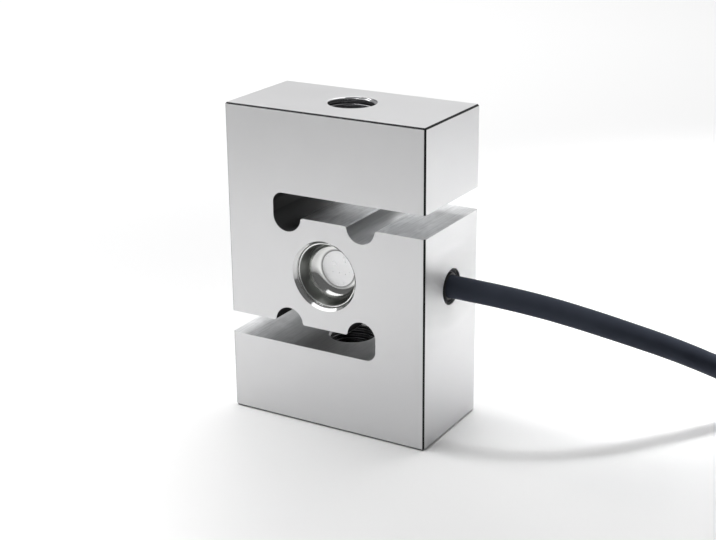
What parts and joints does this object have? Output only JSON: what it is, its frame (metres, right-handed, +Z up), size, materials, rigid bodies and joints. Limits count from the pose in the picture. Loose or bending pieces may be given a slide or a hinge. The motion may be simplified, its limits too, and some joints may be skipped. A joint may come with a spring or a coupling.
{
  "type": "s type load cell",
  "caption": "S-shaped steel force sensor with a threaded hole in each end, a sealed gauge bore in the middle and a side cable.",
  "frame": {"origin": "middle of the base of the body, without the free cable", "axes": "+X towards the cable side, +Y away from the front face that the picture shows, +Z up along the two threaded holes"},
  "size_m": [0.1805, 0.0703, 0.074],
  "materials": {
    "nickel_steel": "satin nickel plating over milled steel",
    "cup_steel": "bright drawn stainless steel",
    "gauge_film": "amber film",
    "gauge_metal": "bright foil",
    "fine_copper": "enamelled copper",
    "glue": "set glue",
    "circuit_board": "satin solder mask",
    "resistor_ceramic": "satin",
    "solder": "bright solder",
    "bush_rubber": "matt",
    "sealant": "set silicone",
    "jacket": "satin blue-black",
    "shield_braid": "tinned braid",
    "wire_red": "satin",
    "wire_black": "satin",
    "wire_green": "satin",
    "wire_white": "satin",
    "tinned_copper": "tinned",
    "tie_nylon": "satin",
    "sleeve_black": "satin"
  },
  "bodies": {
    "root": {"load_cell_body": "nickel_steel", "front_seal_cup": "cup_steel", "rear_seal_cup": "cup_steel", "gauge_carrier_1": "gauge_film", "gauge_foil_1": "gauge_metal", "gauge_leads_1": "fine_copper", "gauge_carrier_2": "gauge_film", "gauge_foil_2": "gauge_metal", "gauge_leads_2": "fine_copper", "gauge_carrier_3": "gauge_film", "gauge_foil_3": "gauge_metal", "gauge_leads_3": "fine_copper", "gauge_carrier_4": "gauge_film", "gauge_foil_4": "gauge_metal", "gauge_leads_4": "fine_copper", "board_glue_pad": "glue", "terminal_board": "circuit_board", "span_resistor_left": "resistor_ceramic", "span_resistor_right": "resistor_ceramic", "zero_balance_resistor": "resistor_ceramic", "zero_drift_resistor": "resistor_ceramic", "board_solder": "solder", "gauge_tab_solder": "solder", "cable_bush": "bush_rubber", "cable_seal": "sealant", "cable_jacket": "jacket", "cable_shield": "shield_braid", "core_red": "wire_red", "core_black": "wire_black", "core_green": "wire_green", "core_white": "wire_white", "drain_wire": "tinned_copper", "cable_tube": "jacket", "cable_coil": "jacket", "coil_tie": "tie_nylon", "end_sleeve": "sleeve_black", "flying_lead_red": "wire_red", "lead_tip_red": "tinned_copper", "flying_lead_black": "wire_black", "lead_tip_black": "tinned_copper", "flying_lead_green": "wire_green", "lead_tip_green": "tinned_copper", "flying_lead_white": "wire_white", "lead_tip_white": "tinned_copper"}
  },
  "joints": []
}
